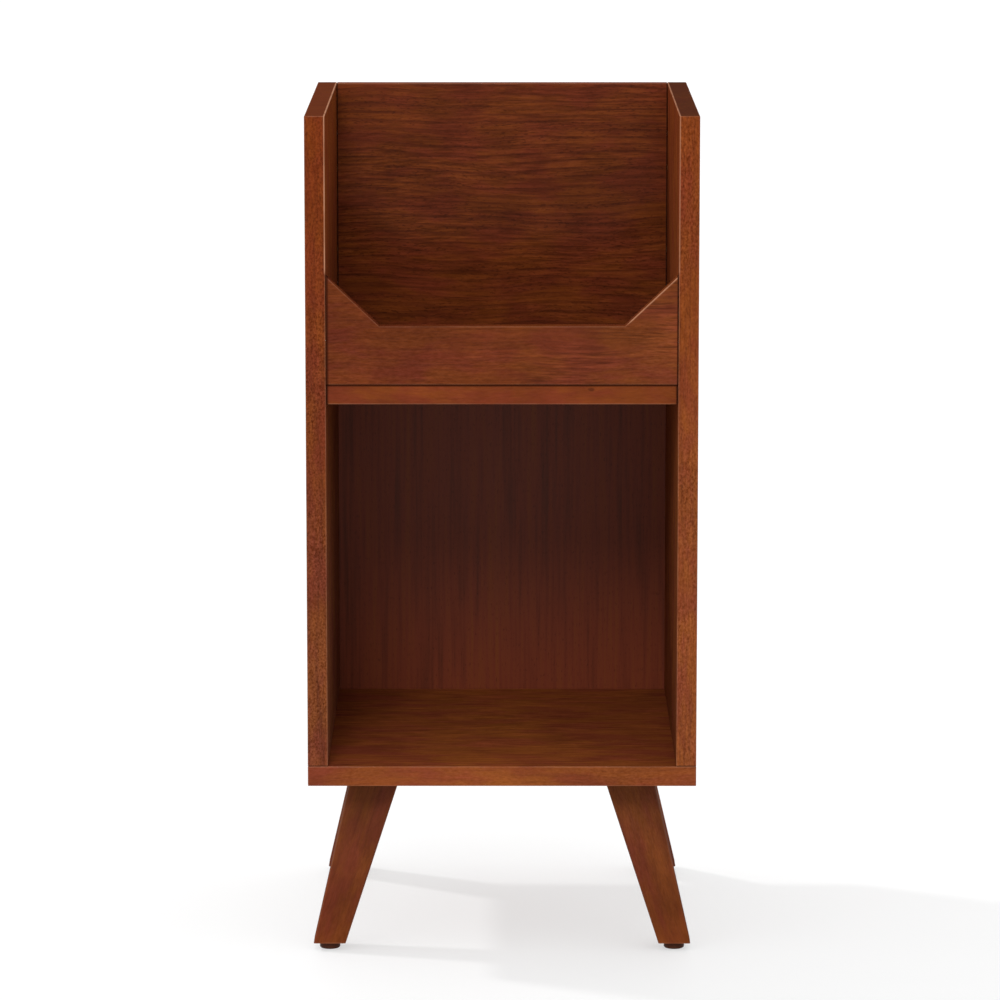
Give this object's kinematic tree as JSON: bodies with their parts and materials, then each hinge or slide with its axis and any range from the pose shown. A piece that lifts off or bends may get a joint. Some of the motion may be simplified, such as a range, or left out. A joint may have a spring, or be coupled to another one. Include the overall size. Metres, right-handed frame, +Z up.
{
  "type": "record storage stand",
  "caption": "Wooden record stand with an open-topped browsing bin over an open-fronted cubby, on splayed tapered legs with levelling feet.",
  "frame": {"origin": "on the floor, under the middle of the cabinet", "axes": "+Z up, the open front of the cubby faces -Y, +X is to the right as seen from the front"},
  "size_m": [0.368, 0.375, 0.8],
  "materials": {
    "stained_wood": "reddish-brown stain under semi-gloss lacquer, fine open grain",
    "leg_wood": "reddish-brown stain under semi-gloss lacquer, a little darker than the panels",
    "back_board": "thin board, stained reddish brown, satin",
    "dowel_wood": "plain beech",
    "zinc_steel": "zinc plated",
    "brass": "plain",
    "foot_plastic": "dark brown, fine texture",
    "cap_plastic": "reddish brown, satin"
  },
  "bodies": {
    "cabinet": {"bottom_panel": "stained_wood", "left_side_panel": "stained_wood", "right_side_panel": "stained_wood", "bin_shelf": "stained_wood", "bin_front_panel": "stained_wood", "bin_back_panel": "stained_wood", "lower_back_panel": "back_board", "front_left_leg": "leg_wood", "front_right_leg": "leg_wood", "rear_left_leg": "leg_wood", "rear_right_leg": "leg_wood", "leg_bolts": "zinc_steel", "leg_bolt_inserts": "brass", "leg_dowels": "dowel_wood", "foot_inserts": "brass", "base_screws": "zinc_steel", "base_dowels": "dowel_wood", "shelf_cam_bolts": "zinc_steel", "shelf_cam_locks": "zinc_steel", "shelf_dowels": "dowel_wood", "bin_front_cam_bolts": "zinc_steel", "bin_front_cam_locks": "zinc_steel", "bin_front_dowels": "dowel_wood", "bin_front_thin_dowels": "dowel_wood", "bin_back_cam_bolts": "zinc_steel", "bin_back_cam_locks": "zinc_steel", "bin_back_dowels": "dowel_wood", "cam_caps": "cap_plastic", "lower_back_screws": "zinc_steel"},
    "front_left_foot": {"front_left_foot_pad": "foot_plastic", "front_left_foot_stem": "zinc_steel"},
    "front_right_foot": {"front_right_foot_pad": "foot_plastic", "front_right_foot_stem": "zinc_steel"},
    "rear_left_foot": {"rear_left_foot_pad": "foot_plastic", "rear_left_foot_stem": "zinc_steel"},
    "rear_right_foot": {"rear_right_foot_pad": "foot_plastic", "rear_right_foot_stem": "zinc_steel"}
  },
  "joints": [
    {"name": "front_left_foot_travel", "type": "slide", "parent": "cabinet", "child": "front_left_foot", "axis": [0, 0, -1], "range_m": [0, 0.01]},
    {"name": "front_right_foot_travel", "type": "slide", "parent": "cabinet", "child": "front_right_foot", "axis": [0, 0, -1], "range_m": [0, 0.01]},
    {"name": "rear_left_foot_travel", "type": "slide", "parent": "cabinet", "child": "rear_left_foot", "axis": [0, 0, -1], "range_m": [0, 0.01]},
    {"name": "rear_right_foot_travel", "type": "slide", "parent": "cabinet", "child": "rear_right_foot", "axis": [0, 0, -1], "range_m": [0, 0.01]}
  ]
}
